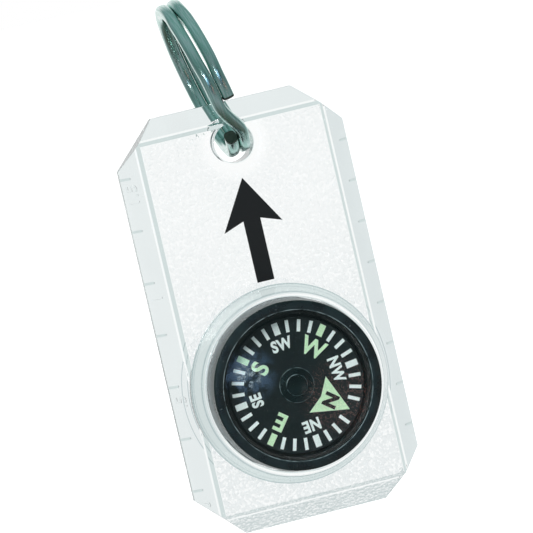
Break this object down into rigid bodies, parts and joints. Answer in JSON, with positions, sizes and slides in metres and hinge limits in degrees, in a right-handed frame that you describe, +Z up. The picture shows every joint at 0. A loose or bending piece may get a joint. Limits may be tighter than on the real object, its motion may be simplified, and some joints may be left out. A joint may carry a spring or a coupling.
{
  "type": "baseplate compass with split ring",
  "caption": "Small clear bevelled baseplate compass with ruler edges, a raised collar holding a liquid-filled capsule with a turning dial card, and a split ring.",
  "frame": {"origin": "point inside the top of the split ring where a hook or cord touches it", "axes": "+Z up the plate towards the ring, +Y out of the plate's flat back, -Y towards the reader of the dial, +X to the reader's right"},
  "size_m": [0.0279, 0.02, 0.0641],
  "materials": {
    "ring_steel": "polished plated spring steel",
    "clear_plate": "clear moulded acrylic with a frosted front panel",
    "clear_lens": "clear polished acrylic",
    "black_plastic": "black moulded plastic",
    "dial_print": "satin black print with white and pale green marks",
    "black_rubber": "matt rubber",
    "white_tape": "foam tape",
    "pin_steel": "ground hardened steel",
    "magnet_steel": "nickel plated magnet",
    "jewel": "polished synthetic ruby"
  },
  "bodies": {
    "ring": {"split_ring": "ring_steel"},
    "plate": {"baseplate": "clear_plate", "capsule_adhesive": "white_tape", "capsule_housing": "black_plastic", "capsule_lens": "clear_lens", "lens_seal": "black_rubber", "filler_plug": "black_rubber", "pivot_pin": "pin_steel"},
    "card": {"dial_face": "dial_print", "card_disc": "black_plastic", "hub_cap": "black_plastic", "jewel_bearing": "jewel", "magnet_bar_left": "magnet_steel", "magnet_bar_right": "magnet_steel"}
  },
  "joints": [
    {"name": "plate_swing", "type": "hinge", "parent": "ring", "child": "plate", "pos_m": [0.00345, 0, -0.01629], "axis": [0, 1, 0], "range_deg": [-123, 96]},
    {"name": "card_spin", "type": "hinge", "parent": "plate", "child": "card", "pos_m": [0.00345, 0, -0.04574], "axis": [0, -1, 0], "continuous": true}
  ]
}
